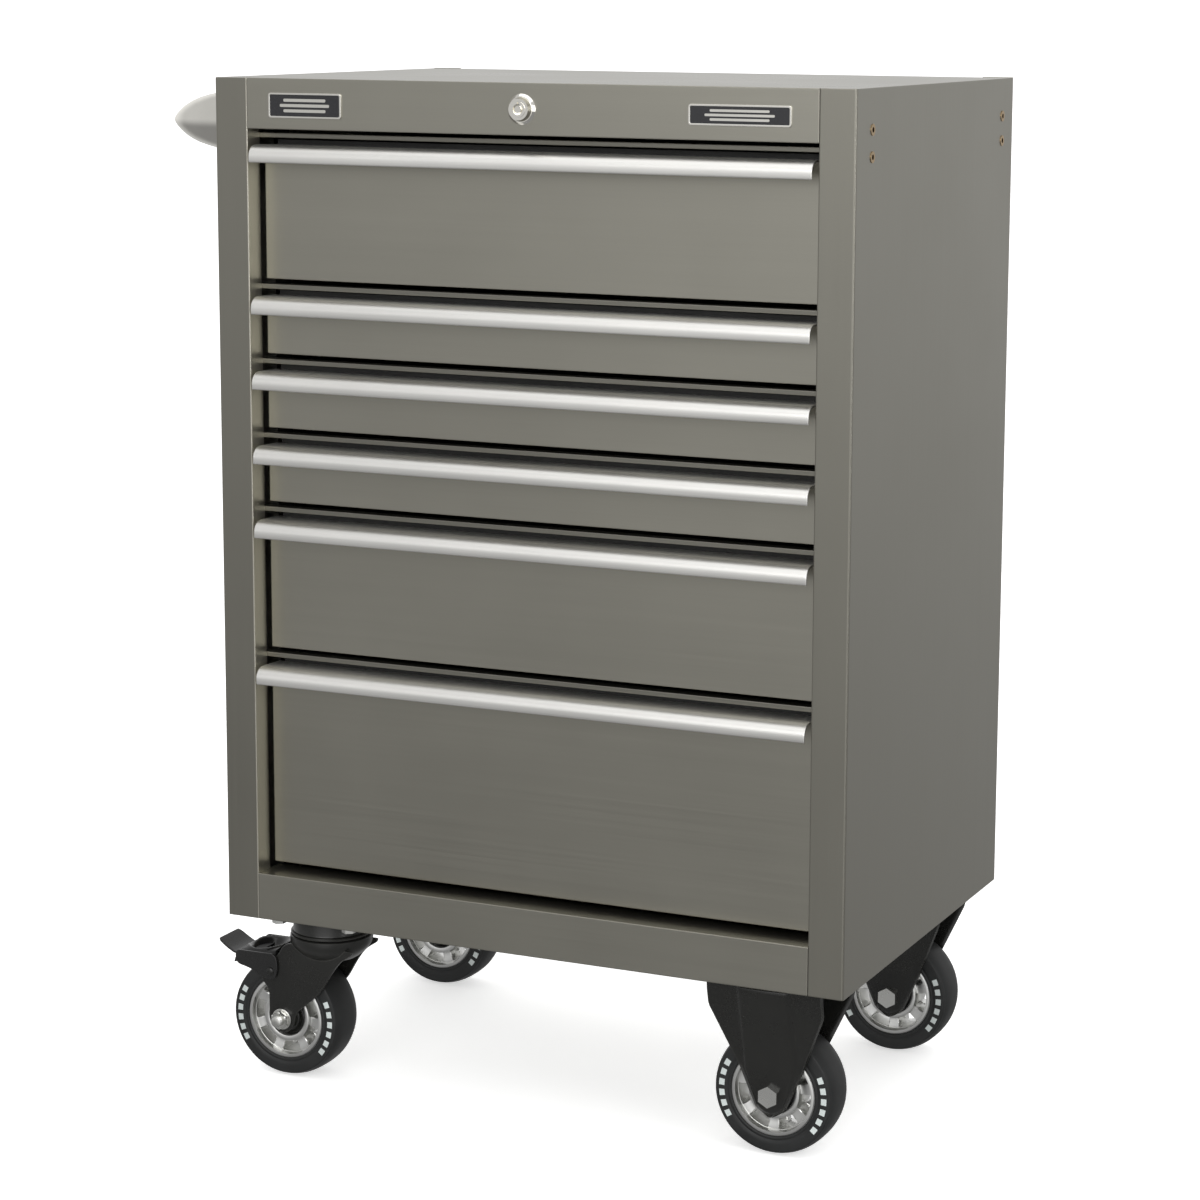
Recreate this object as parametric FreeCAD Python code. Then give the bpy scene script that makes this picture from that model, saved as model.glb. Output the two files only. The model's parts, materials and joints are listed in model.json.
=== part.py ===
import FreeCAD, Part

import math
import os

# Rolling tool chest: a folded stainless cabinet with six drawers, a side push
# handle, a keyed lock, two fixed casters on the right and two braked swivel
# casters on the left. Millimetres. +X is right, +Y runs from the front to the
# back, +Z is up. The parts are drawn with X = 0 at mid-width, Y = 0 on the
# front face of the posts and Z = 0 on the floor, then moved so that the origin
# is the middle of the bottom of the whole object's box.

# ---- driving dimensions ------------------------------------------------------
width = 675.0
depth = 461.0
cabinet_height = 854.0
ride_height = 180.0
sheet = 1.2

post_width = 36.2
post_return = 23.2
post_hem = 8.0
rear_return = 33.0
edge_radius = 2.0

drawer_heights = [150.0, 75.0, 75.0, 75.0, 150.0, 225.0]
stack_top = 805.0
fascia_bottom = 804.5
fascia_flange = 24.0
kick_height = 47.7
kick_ledge = 40.0
panel_flange = 12.0
base_sheet_thickness = 2.0
base_flange = 14.0

face_y = 26.0
face_half_width = 297.3
face_sheet = 1.0
face_flange = 12.0
shelf_drop = 19.0
tray_y = 40.0
tray_length = 396.0
tray_half_width = 290.3
tray_floor_gap = 4.0
tray_top_drop = 12.5

handle_half_width = 296.8
handle_lip_y = -6.0
handle_lip_drop = 33.5
handle_top_drop = 16.3
handle_wall = 1.8

rail_top_drop = 5.3
rail_height = 4.6
rail_depth = 14.0

slide_length = 400.0
slide_height = 35.0
inner_slide_height = 24.0
slide_above_base = 33.0
upright_x = 303.0
upright_width = 30.0

caster_inset_x = 86.0
caster_inset_y = 61.5
tyre_radius = 63.5
tyre_width = 46.0
rim_radius = 43.5
trail = 44.0
plate_x = 118.0
plate_y = 100.0
plate_thickness = 4.0
plate_bolt_radius = 4.0
plate_bolt_hex = 13.0
axle_hex = 19.0
leg_gap = 25.0
bolt_pitch_x = 82.0
bolt_pitch_y = 72.0
axle_radius = 6.0
running_gap = 0.05
fork_sheet = 3.5
brake_angle = 10.0

tube_radius = 12.5
push_handle_z = 810.0
bracket_y = (42.0, 426.0)
bracket_reach = 74.0
bracket_half_height = 29.0
bracket_half_depth = 21.0
tube_from_nose = 17.5
screw_radius = 3.0
insert_radius = 4.0
insert_bore = 2.5
insert_proud = 0.6
screw_pitch = 25.0
insert_z = 803.5

lock_z = 829.2
lock_plug_radius = 7.4
lock_proud = 7.5
crank_radius = 12.0
lock_bar_x = (-24.0, 12.0)

# ---- derived places ----------------------------------------------------------
half = width / 2
wall_x = half - sheet
post_inner_x = half - post_width
base_z = ride_height
top_z = ride_height + cabinet_height
caster_x = half - caster_inset_x
axle_z = tyre_radius
bolt_hole_radius = plate_bolt_radius + 0.2
caster_ys = (caster_inset_y, depth - caster_inset_y)
box_left = -half - bracket_reach
box_right = half + insert_proud
box_front = -lock_proud - 0.5
box_back = depth
shift = FreeCAD.Vector(-(box_left + box_right) / 2, -(box_front + box_back) / 2, 0)


# ---- helpers -----------------------------------------------------------------
def vec(x, y, z):
    return FreeCAD.Vector(x, y, z)


def box(x0, x1, y0, y1, z0, z1):
    return Part.makeBox(x1 - x0, y1 - y0, z1 - z0, vec(x0, y0, z0))


def rod(radius, start, end):
    direction = end - start
    return Part.makeCylinder(radius, direction.Length, start, direction)


def hexagon(across_flats, start, end):
    """A hexagonal bar from start to end, for bolt heads and nuts."""
    direction = end - start
    corner = across_flats / math.sqrt(3)
    placement = FreeCAD.Placement(start, FreeCAD.Rotation(vec(0, 0, 1), direction))
    points = []
    for i in range(7):
        angle = math.radians(60 * i + 30)
        points.append(placement.multVec(vec(corner * math.cos(angle), corner * math.sin(angle), 0)))
    return Part.Face(Part.makePolygon(points)).extrude(direction)


def fused(shapes):
    return shapes[0].multiFuse(shapes[1:]).removeSplitter() if len(shapes) > 1 else shapes[0]


def mirrored(shape):
    return shape.mirror(vec(0, 0, 0), vec(1, 0, 0))


def moved(shape, x, y, z):
    copy = shape.copy()
    copy.translate(vec(x, y, z))
    return copy


def rounded_upright_edges(shape, spots, radius):
    """Rounds the vertical edges that stand at the given (x, y) spots."""
    picked = []
    for edge in shape.Edges:
        if len(edge.Vertexes) != 2:
            continue
        a, b = edge.Vertexes[0].Point, edge.Vertexes[1].Point
        vertical = abs(a.x - b.x) < 1e-6 and abs(a.y - b.y) < 1e-6
        if vertical and any(abs(a.x - x) < 0.01 and abs(a.y - y) < 0.01 for x, y in spots):
            picked.append(edge)
    return shape.makeFillet(radius, picked)


def profile_along_x(points, x0, x1):
    """Extrudes a closed (y, z) outline along X."""
    outline = [vec(x0, y, z) for y, z in points]
    return Part.Face(Part.makePolygon(outline + outline[:1])).extrude(vec(x1 - x0, 0, 0))


def profile_along_y(points, y0, y1):
    """Extrudes a closed (x, z) outline along Y."""
    outline = [vec(x, y0, z) for x, z in points]
    return Part.Face(Part.makePolygon(outline + outline[:1])).extrude(vec(0, y1 - y0, 0))


def tangent_point(px, pz, cx, cz, radius, side):
    """Where a line from (px, pz) touches the circle; side is +1 or -1."""
    dx, dz = px - cx, pz - cz
    angle = math.atan2(dz, dx) + side * math.acos(radius / math.hypot(dx, dz))
    return cx + radius * math.cos(angle), cz + radius * math.sin(angle)


def export(node, solids):
    shapes = solids if isinstance(solids, list) else [solids]
    placed = [moved(s, shift.x, shift.y, shift.z) for s in shapes]
    whole = placed[0] if len(placed) == 1 else Part.makeCompound(placed)
    whole.exportStep("parts/" + node + ".step")


# ---- cabinet -----------------------------------------------------------------
top_panel_solid = box(-wall_x, wall_x, sheet, depth - sheet, top_z - sheet, top_z)
base_top = base_z + base_sheet_thickness
base_sheet = box(-wall_x, wall_x, sheet, depth - sheet, base_z, base_top)


def side_panel(hole_radius):
    """Left side: outer wall, hollow front post with its return and hem, rear return."""
    inner = -post_inner_x
    legs = [
        box(-half, -wall_x, 0, depth, base_z, top_z),
        box(-half, inner, 0, sheet, base_z, top_z),
        box(inner - sheet, inner, 0, post_return, base_z, top_z),
        box(inner - post_hem, inner, post_return - sheet, post_return, base_z, top_z),
        box(-half, -half + rear_return, depth - sheet, depth, base_z, top_z + 0.6),
    ]
    panel = fused(legs)
    outer_corners = [(-half, 0), (-half, depth), (inner, 0)]
    panel = rounded_upright_edges(panel, outer_corners[:2], edge_radius)
    panel = rounded_upright_edges(panel, outer_corners[2:], 1.0)
    for y in bracket_y:
        for z in insert_heights():
            panel = panel.cut(rod(hole_radius, vec(-half - 1, y, z), vec(-wall_x + 1, y, z)))
    return panel.cut(top_panel_solid).cut(base_sheet)


def insert_heights():
    return [base_z + insert_z + screw_pitch / 2, base_z + insert_z - screw_pitch / 2]


def top_panel():
    flange = panel_flange
    walls = [
        top_panel_solid,
        box(-wall_x, -wall_x + sheet, post_return + 5, depth - 3 * sheet, top_z - flange, top_z - sheet),
        box(wall_x - sheet, wall_x, post_return + 5, depth - 3 * sheet, top_z - flange, top_z - sheet),
        box(-wall_x, wall_x, depth - 3 * sheet, depth - 2 * sheet, top_z - flange, top_z - sheet),
    ]
    return fused(walls)


def back_panel():
    """Sheet behind the drawers with two pairs of cheeks that guide the locking bar."""
    y = depth - 2 * sheet
    panel = [box(-wall_x, wall_x, y, depth - sheet, base_top, top_z - sheet)]
    for z in (base_z + 160, base_z + 700):
        for x in (lock_bar_x[0] - 2.5, lock_bar_x[1] + 0.5):
            panel.append(box(x, x + 2, lock_bar_y() - 1, y, z, z + 30))
    return fused(panel)


def base_pan():
    """Floor with flanges turned up, drilled for the caster bolts."""
    flange = base_flange
    pan = fused([
        base_sheet,
        box(-wall_x, -wall_x + sheet, post_return + 5, depth - 3 * sheet, base_top, base_z + flange),
        box(wall_x - sheet, wall_x, post_return + 5, depth - 3 * sheet, base_top, base_z + flange),
        box(-wall_x, wall_x, depth - 3 * sheet, depth - 2 * sheet, base_top, base_z + flange),
    ])
    for x, y in caster_bolt_spots():
        pan = pan.cut(rod(bolt_hole_radius, vec(x, y, base_z - 1), vec(x, y, base_z + 3)))
    return pan


def front_fascia():
    """Face across the top with a flange and lip folded back under it."""
    x = post_inner_x - 0.15
    low = base_z + fascia_bottom
    fascia = fused([
        box(-x, x, 0, sheet, low, top_z),
        box(-x, x, 0, fascia_flange, low, low + sheet),
        box(-x, x, fascia_flange - sheet, fascia_flange, low, low + 10),
    ])
    opening = rod(9.6, vec(0, -1, base_z + lock_z), vec(0, sheet + 1, base_z + lock_z))
    return fascia.cut(opening).cut(top_panel_solid)


def kick_rail():
    x = post_inner_x - 0.15
    high = base_z + kick_height
    rail = fused([
        box(-x, x, 0, sheet, base_z, high),
        box(-x, x, 0, kick_ledge, high - sheet, high),
        box(-x, x, kick_ledge - sheet, kick_ledge, high - 12, high),
    ])
    return rail.cut(base_sheet)


def stack_levels():
    """(top, bottom) of each drawer's cell above the floor, from the top down."""
    levels = []
    top = base_z + stack_top
    for height in drawer_heights:
        levels.append((top, top - height))
        top -= height
    return levels


def cross_rails():
    """One flattened channel under the fascia and one between each pair of drawers."""
    x = post_inner_x + post_hem - 2
    rails = []
    for top, bottom in stack_levels():
        high = top - rail_top_drop
        low = high - rail_height
        front, back = post_return, post_return + rail_depth
        outline = [
            (front, low), (back, low), (back, low + sheet), (front + sheet, low + sheet),
            (front + sheet, high - sheet), (back, high - sheet), (back, high), (front, high),
        ]
        rails.append(profile_along_x(outline, -x, x))
    return rails


def slide_uprights():
    """Hat channels that carry the slides, two on each side."""
    solids = []
    for y in (post_return + 30, depth - 80):
        solids.append(fused([
            box(-wall_x, -upright_x, y, y + sheet, base_z + 14, top_z - 14),
            box(-wall_x, -upright_x, y + upright_width - sheet, y + upright_width,
                base_z + 14, top_z - 14),
            box(-upright_x - sheet, -upright_x, y, y + upright_width, base_z + 14, top_z - 14),
        ]))
    return solids + [mirrored(s) for s in solids]


def channel_slide(x_web, x_lips, height, y0, y1, z_mid, wall=1.2):
    """A C-shaped slide member on the left; its lips point from x_web to x_lips."""
    side = 1 if x_lips > x_web else -1
    web = sorted((x_web, x_web + side * wall))
    reach = sorted((x_web, x_lips))
    low, high = z_mid - height / 2, z_mid + height / 2
    return fused([
        box(web[0], web[1], y0, y1, low, high),
        box(reach[0], reach[1], y0, y1, low, low + wall),
        box(reach[0], reach[1], y0, y1, high - wall, high),
    ])


def slide_outer_members():
    members = []
    for top, bottom in stack_levels():
        z = bottom + slide_above_base
        member = channel_slide(-upright_x, -upright_x + 11.0, slide_height, tray_y + 3,
                               tray_y + 3 + slide_length - 10, z)
        members += [member, mirrored(member)]
    return members


# ---- push handle -------------------------------------------------------------
def push_handle_tube():
    x = -half - bracket_reach + tube_from_nose
    z = base_z + push_handle_z
    return rod(tube_radius, vec(x, bracket_y[0] - 4, z), vec(x, bracket_y[1] + 4, z))


def push_handle_brackets():
    """Bullet-shaped brackets: half an ellipsoid standing on the side panel."""
    stretch = FreeCAD.Matrix()
    stretch.A11 = bracket_reach
    stretch.A22 = bracket_half_depth
    stretch.A33 = bracket_half_height
    ellipsoid = Part.makeSphere(1.0).transformGeometry(stretch)
    brackets = []
    for y in bracket_y:
        bullet = moved(ellipsoid, -half, y, base_z + push_handle_z)
        outside = box(-half - 100, -half, y - 60, y + 60, base_z + 700, top_z)
        bullet = bullet.common(outside).cut(push_handle_tube())
        for z in insert_heights():
            bullet = bullet.cut(rod(screw_radius, vec(-half - 14, y, z), vec(-half, y, z)))
        brackets.append(bullet.Solids[0])
    return brackets


def push_handle_screws():
    """Pan-head screws from inside the cabinet into the brackets."""
    screws = []
    for y in bracket_y:
        for z in insert_heights():
            shank = rod(screw_radius, vec(-half - 13, y, z), vec(-wall_x + sheet, y, z))
            head = rod(5.0, vec(-wall_x, y, z), vec(-wall_x + 3.0, y, z))
            screws.append(fused([shank, head]))
    return screws


def side_threaded_inserts():
    """Open threaded inserts on the right, so the handle can change sides."""
    inserts = []
    for y in bracket_y:
        for z in insert_heights():
            flange = rod(insert_radius + 1.5, vec(half, y, z), vec(half + insert_proud, y, z))
            sleeve = rod(insert_radius, vec(half - 10, y, z), vec(half, y, z))
            bore = rod(insert_bore, vec(half - 12, y, z), vec(half + 2, y, z))
            inserts.append(fused([flange, sleeve]).cut(bore))
    return inserts


# ---- badge plates and lock ---------------------------------------------------
def badge_plates():
    """Two blank plates on the fascia, each with a raised border."""
    plates = []
    for x0, x1, z0, z1 in [(-276.0, -194.8, 815.6, 840.0), (172.2, 274.6, 818.2, 837.7)]:
        plate = box(x0, x1, -2.0, 0, base_z + z0, base_z + z1)
        corners = [e for e in plate.Edges if abs(e.Vertexes[0].Y - e.Vertexes[1].Y) > 1]
        plate = plate.makeFillet(2.0, corners)
        border = 1.6
        well = box(x0 + border, x1 - border, -2.0, -1.2, base_z + z0 + border, base_z + z1 - border)
        plates.append(plate.cut(well))
    return plates


def lock_housing():
    """Stepped bezel on the fascia, barrel behind it and the bore for the plug."""
    z = base_z + lock_z
    front = -lock_proud
    bezel = Part.makeCone(14.6, 12.2, 2.2, vec(0, 0, z), vec(0, -1, 0))
    collar = Part.makeCone(11.6, 10.2, lock_proud - 2.2, vec(0, -2.2, z), vec(0, -1, 0))
    barrel = rod(9.5, vec(0, 0, z), vec(0, 24, z))
    bore = rod(lock_plug_radius + running_gap, vec(0, front - 1, z), vec(0, 25, z))
    return fused([bezel, collar, barrel]).cut(bore)


def lock_plug():
    """Plug with the round keyway of a tubular key."""
    z = base_z + lock_z
    front = -lock_proud - 0.5
    plug = rod(lock_plug_radius, vec(0, front, z), vec(0, 25.5, z))
    groove = rod(5.2, vec(0, front - 1, z), vec(0, front + 5, z))
    core = rod(3.4, vec(0, front - 1, z), vec(0, front + 6, z))
    notch = box(-0.9, 0.9, front - 1, front + 5, z + 3.4, z + 6.6)
    return plug.cut(groove.cut(core)).cut(notch)


def lock_shaft():
    """Square bar from the plug to the back, with a crank and its pin."""
    z = base_z + lock_z
    crank_y = tray_y + tray_length + 2
    bar = box(-4, 4, 25.5, crank_y, z - 4, z + 4)
    crank = fused([
        box(-crank_radius, 0, crank_y, crank_y + 3, z - 5, z + 5),
        rod(5.0, vec(-crank_radius, crank_y, z), vec(-crank_radius, crank_y + 3, z)),
        rod(5.7, vec(0, crank_y, z), vec(0, crank_y + 3, z)),
    ])
    pin = rod(2.0, vec(-crank_radius, crank_y, z), vec(-crank_radius, crank_y + 12, z))
    return fused([bar, crank, pin])


def lock_bar_y():
    return tray_y + tray_length + 8


def locking_bar():
    """Flat bar at the back with a slot for the crank pin and a tab for each drawer."""
    z = base_z + lock_z
    y = lock_bar_y()
    bar = box(lock_bar_x[0], lock_bar_x[1], y, y + 2, base_z + 40, z + 9)
    slack = 2.6
    slot = box(-crank_radius - 3, 3, y - 1, y + 3, z - 2.4, z + 2.4 + slack)
    tabs = [box(-20, 8, y - 5, y, bottom + 20, bottom + 22) for top, bottom in stack_levels()]
    return fused([bar.cut(slot)] + tabs)


# ---- drawers -----------------------------------------------------------------
def drawer_front(top, bottom):
    """Folded front: face, side and bottom returns, and the shelf under the handle."""
    x = face_half_width
    shelf = top - shelf_drop
    back = face_y + face_flange
    pan = fused([
        box(-x, x, face_y, face_y + face_sheet, bottom, shelf),
        box(-x, -x + face_sheet, face_y, back, bottom, shelf),
        box(x - face_sheet, x, face_y, back, bottom, shelf),
        box(-x, x, face_y, back, bottom, bottom + face_sheet),
        box(-x, x, face_y, tray_y, shelf - face_sheet, shelf),
    ])
    return rounded_upright_edges(pan, [(-x, face_y), (x, face_y)], 0.8)


def drawer_tray(top, bottom):
    """Open box behind the front; its front wall shows above the handle."""
    x = tray_half_width
    low, high = bottom + tray_floor_gap, top - tray_top_drop
    outer = box(-x, x, tray_y, tray_y + tray_length, low, high)
    inner = box(-x + 1, x - 1, tray_y + 1, tray_y + tray_length - 1, low + 1, high + 1)
    return outer.cut(inner)


def drawer_handle(top):
    """Aluminium canopy: a web on the front's shelf and a curved lip hanging from it."""
    lip_y, wall = handle_lip_y, handle_wall
    low, high = top - handle_lip_drop, top - handle_top_drop
    web_low = top - shelf_drop
    bend_y = lip_y + 13.0
    bend_z = high - 11.0
    quarter = math.sqrt(0.5)
    centre = vec(0, bend_y, bend_z)

    def on_bend(ry, rz, k):
        return centre + vec(0, -ry * k[0], rz * k[1])

    ry, rz = bend_y - lip_y, high - bend_z
    outer = [on_bend(ry, rz, k) for k in ((1, 0), (quarter, quarter), (0, 1))]
    inner = [on_bend(ry - wall, rz - wall, k) for k in ((0, 1), (quarter, quarter), (1, 0))]
    back_top = vec(0, tray_y - 0.3, web_low + wall)
    back_low = vec(0, tray_y - 0.3, web_low)
    rest_low = vec(0, face_y, web_low)
    edges = [
        Part.LineSegment(vec(0, lip_y, low), outer[0]),
        Part.Arc(*outer),
        Part.LineSegment(outer[2], back_top),
        Part.LineSegment(back_top, back_low),
        Part.LineSegment(back_low, rest_low),
        Part.LineSegment(rest_low, inner[0]),
        Part.Arc(*inner),
        Part.LineSegment(inner[2], vec(0, lip_y + wall, low)),
        Part.LineSegment(vec(0, lip_y + wall, low), vec(0, lip_y, low)),
    ]
    wire = Part.Wire([e.toShape() for e in edges])
    solid = Part.Face(wire).extrude(vec(2 * handle_half_width, 0, 0))
    return moved(solid, -handle_half_width, 0, 0)


def drawer_slides(bottom):
    z = bottom + slide_above_base
    member = channel_slide(-tray_half_width, -tray_half_width - 10.2, inner_slide_height,
                           tray_y + 3, tray_y + tray_length - 4, z)
    return [member, mirrored(member)]


# ---- casters -----------------------------------------------------------------
def caster_bolt_spots():
    spots = []
    for x in (-caster_x, caster_x):
        for y in caster_ys:
            for dx in (-bolt_pitch_x / 2, bolt_pitch_x / 2):
                for dy in (-bolt_pitch_y / 2, bolt_pitch_y / 2):
                    spots.append((x + dx, y + dy))
    return spots


def caster_plate(x, y):
    plate = box(x - plate_x / 2, x + plate_x / 2, y - plate_y / 2, y + plate_y / 2,
                base_z - plate_thickness, base_z)
    corners = [e for e in plate.Edges if abs(e.Vertexes[0].Z - e.Vertexes[1].Z) > 1]
    plate = plate.makeFillet(6.0, corners)
    for dx in (-bolt_pitch_x / 2, bolt_pitch_x / 2):
        for dy in (-bolt_pitch_y / 2, bolt_pitch_y / 2):
            hole = rod(bolt_hole_radius, vec(x + dx, y + dy, base_z - 10), vec(x + dx, y + dy, base_z + 1))
            plate = plate.cut(hole)
    return plate


def swivel_plate(y):
    """Top plate with the fixed half of the ball race and the king pin."""
    x = -caster_x
    low = base_z - 24
    race = rod(45.0, vec(x, y, low), vec(x, y, base_z - plate_thickness))
    race = race.makeFillet(2.0, [race.Edges[2]])
    pin = rod(axle_radius, vec(x, y, base_z - 36), vec(x, y, low))
    head = rod(11.0, vec(x, y, base_z - 41), vec(x, y, base_z - 33.3))
    return fused([caster_plate(x, y), race, pin, head])


def bored_for_axle(shape, x, y):
    bore = rod(axle_radius + running_gap, vec(x, y - 60, axle_z), vec(x, y + 60, axle_z))
    return shape.cut(bore)


def swivel_fork(y):
    """Round crown under the race and two legs that reach back to the axle."""
    x = -caster_x
    wheel_x = x - trail
    crown = rod(48.0, vec(x, y, base_z - 33), vec(x, y, base_z - 24.3))
    crown = crown.makeFillet(2.0, crown.Edges)
    crown = crown.cut(rod(axle_radius + running_gap, vec(x, y, base_z - 40), vec(x, y, base_z - 20)))
    boss = 15.0
    near = tangent_point(x - 2, base_z - 82, wheel_x, axle_z, boss, -1)
    outline = [
        (x + 43, base_z - 31), (x + 43, base_z - 39), (x + 18, base_z - 49), (x + 8, base_z - 64),
        (x - 2, base_z - 82), near, (wheel_x, axle_z), (wheel_x - boss, axle_z),
        (wheel_x - boss, base_z - 84), (x - 68, base_z - 78), (x - 68, base_z - 54),
        (x - 48, base_z - 50), (x - 43, base_z - 31),
    ]
    legs = []
    for inner in (leg_gap, -leg_gap - fork_sheet):
        leg = profile_along_y(outline, y + inner, y + inner + fork_sheet)
        end = rod(boss, vec(wheel_x, y + inner, axle_z), vec(wheel_x, y + inner + fork_sheet, axle_z))
        legs.append(fused([leg, end]))
    return bored_for_axle(fused([crown] + legs), wheel_x, y)


def fixed_fork(y):
    """Pressed fork: the plate's edges fold down into legs that lean in to the axle."""
    x = caster_x
    boss = 19.5
    low = base_z - plate_thickness
    bend_z = base_z - 90
    out_top, out_low = plate_y / 2, leg_gap + fork_sheet
    side = tangent_point(plate_x / 2, base_z - 27, 0, axle_z, boss, -1)
    outline = [
        (x - plate_x / 2, base_z), (x + plate_x / 2, base_z), (x + plate_x / 2, base_z - 27),
        (x + side[0], side[1]), (x, axle_z), (x - side[0], side[1]), (x - plate_x / 2, base_z - 27),
    ]
    shape = profile_along_y(outline, y - 60, y + 60)
    shape = fused([shape, rod(boss, vec(x, y - 60, axle_z), vec(x, y + 60, axle_z))])
    strip = [
        (out_top, low), (out_low, bend_z), (out_low, axle_z - boss - 1),
        (out_low - fork_sheet, axle_z - boss - 1), (out_low - fork_sheet, bend_z),
        (out_top - fork_sheet, low),
    ]
    rib_height = 3.0
    rib_outline = [
        (x - 28, low), (x + 28, low), (x + 19, base_z - 98), (x + 12, base_z - 103),
        (x - 12, base_z - 103), (x - 19, base_z - 98),
    ]
    rib_shape = profile_along_y(rib_outline, y - 60, y + 60)
    pieces = [caster_plate(x, y)]
    for mirror in (1, -1):
        leg = profile_along_x([(y + mirror * dy, z) for dy, z in strip], x - 70, x + 70)
        pieces.append(leg.common(shape))
        raised = [(dy + rib_height, z) for dy, z in strip[:3]] + [(dy, z) for dy, z in strip[2::-1]]
        rib = profile_along_x([(y + mirror * dy, z) for dy, z in raised], x - 70, x + 70)
        pieces.append(rib.common(rib_shape))
    return bored_for_axle(fused(pieces), x, y)


def tyre(x, y):
    """Rubber ring with rounded shoulders."""
    shoulder = 7.0
    w = tyre_width / 2
    turn = math.sqrt(0.5)
    r_low, r_high = rim_radius, tyre_radius
    bend = r_high - shoulder
    points = [
        Part.LineSegment(vec(r_low, -w, 0), vec(bend, -w, 0)),
        Part.Arc(vec(bend, -w, 0), vec(bend + shoulder * turn, -w + shoulder * (1 - turn), 0),
                 vec(r_high, -w + shoulder, 0)),
        Part.LineSegment(vec(r_high, -w + shoulder, 0), vec(r_high, w - shoulder, 0)),
        Part.Arc(vec(r_high, w - shoulder, 0), vec(bend + shoulder * turn, w - shoulder * (1 - turn), 0),
                 vec(bend, w, 0)),
        Part.LineSegment(vec(bend, w, 0), vec(r_low, w, 0)),
        Part.LineSegment(vec(r_low, w, 0), vec(r_low, -w, 0)),
    ]
    wire = Part.Wire([p.toShape() for p in points])
    ring = Part.Face(wire).revolve(vec(0, 0, 0), vec(0, 1, 0), 360)
    return moved(ring, x, y, axle_z)


def rim(x, y):
    """Cast rim: barrel, hub ring, bearing boss and a web with seven windows."""
    w = tyre_width / 2
    hub_half = 24.7
    ring_half, floor_half = 19.5, 16.0
    barrel = rod(rim_radius, vec(0, -w, 0), vec(0, w, 0)).cut(rod(39.0, vec(0, -w - 1, 0), vec(0, w + 1, 0)))
    web = rod(40.0, vec(0, -9, 0), vec(0, 9, 0))
    hub = rod(27.0, vec(0, -ring_half, 0), vec(0, ring_half, 0))
    for side in (-1, 1):
        hub = hub.cut(rod(21.0, vec(0, side * floor_half, 0), vec(0, side * (ring_half + 1), 0)))
    boss = rod(13.0, vec(0, -hub_half, 0), vec(0, hub_half, 0))
    pads = 7
    window = []
    for radius, spread in ((28.2, 14.0), (37.4, 15.0), (37.4, -15.0), (28.2, -14.0)):
        angle = math.radians(spread)
        window.append((radius * math.cos(angle), radius * math.sin(angle)))
    solid = fused([barrel, web, hub, boss])
    for i in range(pads):
        cut = profile_along_y(window, -10, 10)
        cut.rotate(vec(0, 0, 0), vec(0, 1, 0), i * 360.0 / pads)
        solid = solid.cut(cut)
    solid = solid.cut(rod(axle_radius + running_gap, vec(0, -30, 0), vec(0, 30, 0)))
    return moved(solid, x, y, axle_z)


def axle_bolt(x, y):
    """Bolt through both legs with a hexagon head in front and a nut behind."""
    reach = leg_gap + fork_sheet
    head = hexagon(axle_hex, vec(x, y - reach - 8, axle_z), vec(x, y - reach, axle_z))
    shank = rod(axle_radius, vec(x, y - reach - 1, axle_z), vec(x, y + reach + 12, axle_z))
    nut = hexagon(axle_hex, vec(x, y + reach, axle_z), vec(x, y + reach + 10, axle_z))
    return fused([head, shank, nut])


def caster_bolts():
    """Plate bolts with their nuts inside the base, and the fixed casters' axle bolts."""
    bolts = []
    for x, y in caster_bolt_spots():
        low = base_z - plate_thickness
        head = hexagon(plate_bolt_hex, vec(x, y, low - 6), vec(x, y, low))
        shank = rod(plate_bolt_radius, vec(x, y, low - 1), vec(x, y, base_z + 12))
        nut = hexagon(plate_bolt_hex, vec(x, y, base_top), vec(x, y, base_top + 6.5))
        bolts.append(fused([head, shank, nut]))
    return bolts + [axle_bolt(caster_x, y) for y in caster_ys]


def brake_pivot():
    return -caster_x - 56.0, base_z - 66.0


def brake_pedal(y):
    """Pressed lever astride the fork: top, two cheeks, foot tab and brake shoe."""
    x = -caster_x
    wheel_x = x - trail
    pivot_x, pivot_z = brake_pivot()
    cheek = [
        (x - 98, base_z - 47), (x - 50, base_z - 43), (x - 46, base_z - 60), (pivot_x + 6, pivot_z - 8),
        (pivot_x - 6, pivot_z - 8), (x - 80, base_z - 64), (x - 98, base_z - 61),
    ]
    pieces = []
    for y0 in (29.0, -31.5):
        pieces.append(profile_along_y(cheek, y + y0, y + y0 + 2.5))
    cover = [
        (x - 98, base_z - 47), (x - 52, base_z - 43.2), (x - 52, base_z - 45.7), (x - 98, base_z - 49.5),
    ]
    pieces.append(profile_along_y(cover, y - 31.5, y + 31.5))
    tab = [
        (x - 98, base_z - 47), (x - 98, base_z - 57), (x - 104, base_z - 56),
        (x - 125, base_z - 43.5), (x - 123.8, base_z - 41.3), (x - 103, base_z - 53.5),
    ]
    pieces.append(profile_along_y(tab, y - 21, y + 21))
    for y0 in (29.0, -31.5 - 1.5):
        pieces.append(rod(4.5, vec(pivot_x, y + y0, pivot_z), vec(pivot_x, y + y0 + 4.0, pivot_z)))
    shoe = box(x - 92, x - 78, y - 16, y + 16, base_z - 100, base_z - 48)
    clear_of_tyre = rod(tyre_radius + 0.6, vec(wheel_x, y - 30, axle_z), vec(wheel_x, y + 30, axle_z))
    shoe.rotate(vec(pivot_x, y, pivot_z), vec(0, 1, 0), -brake_angle)
    shoe = shoe.cut(clear_of_tyre)
    shoe = max(shoe.Solids, key=lambda solid: solid.CenterOfMass.z)
    shoe.rotate(vec(pivot_x, y, pivot_z), vec(0, 1, 0), brake_angle)
    pieces.append(shoe)
    return fused(pieces)


# ---- write every part --------------------------------------------------------
os.makedirs("parts", exist_ok=True)

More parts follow.
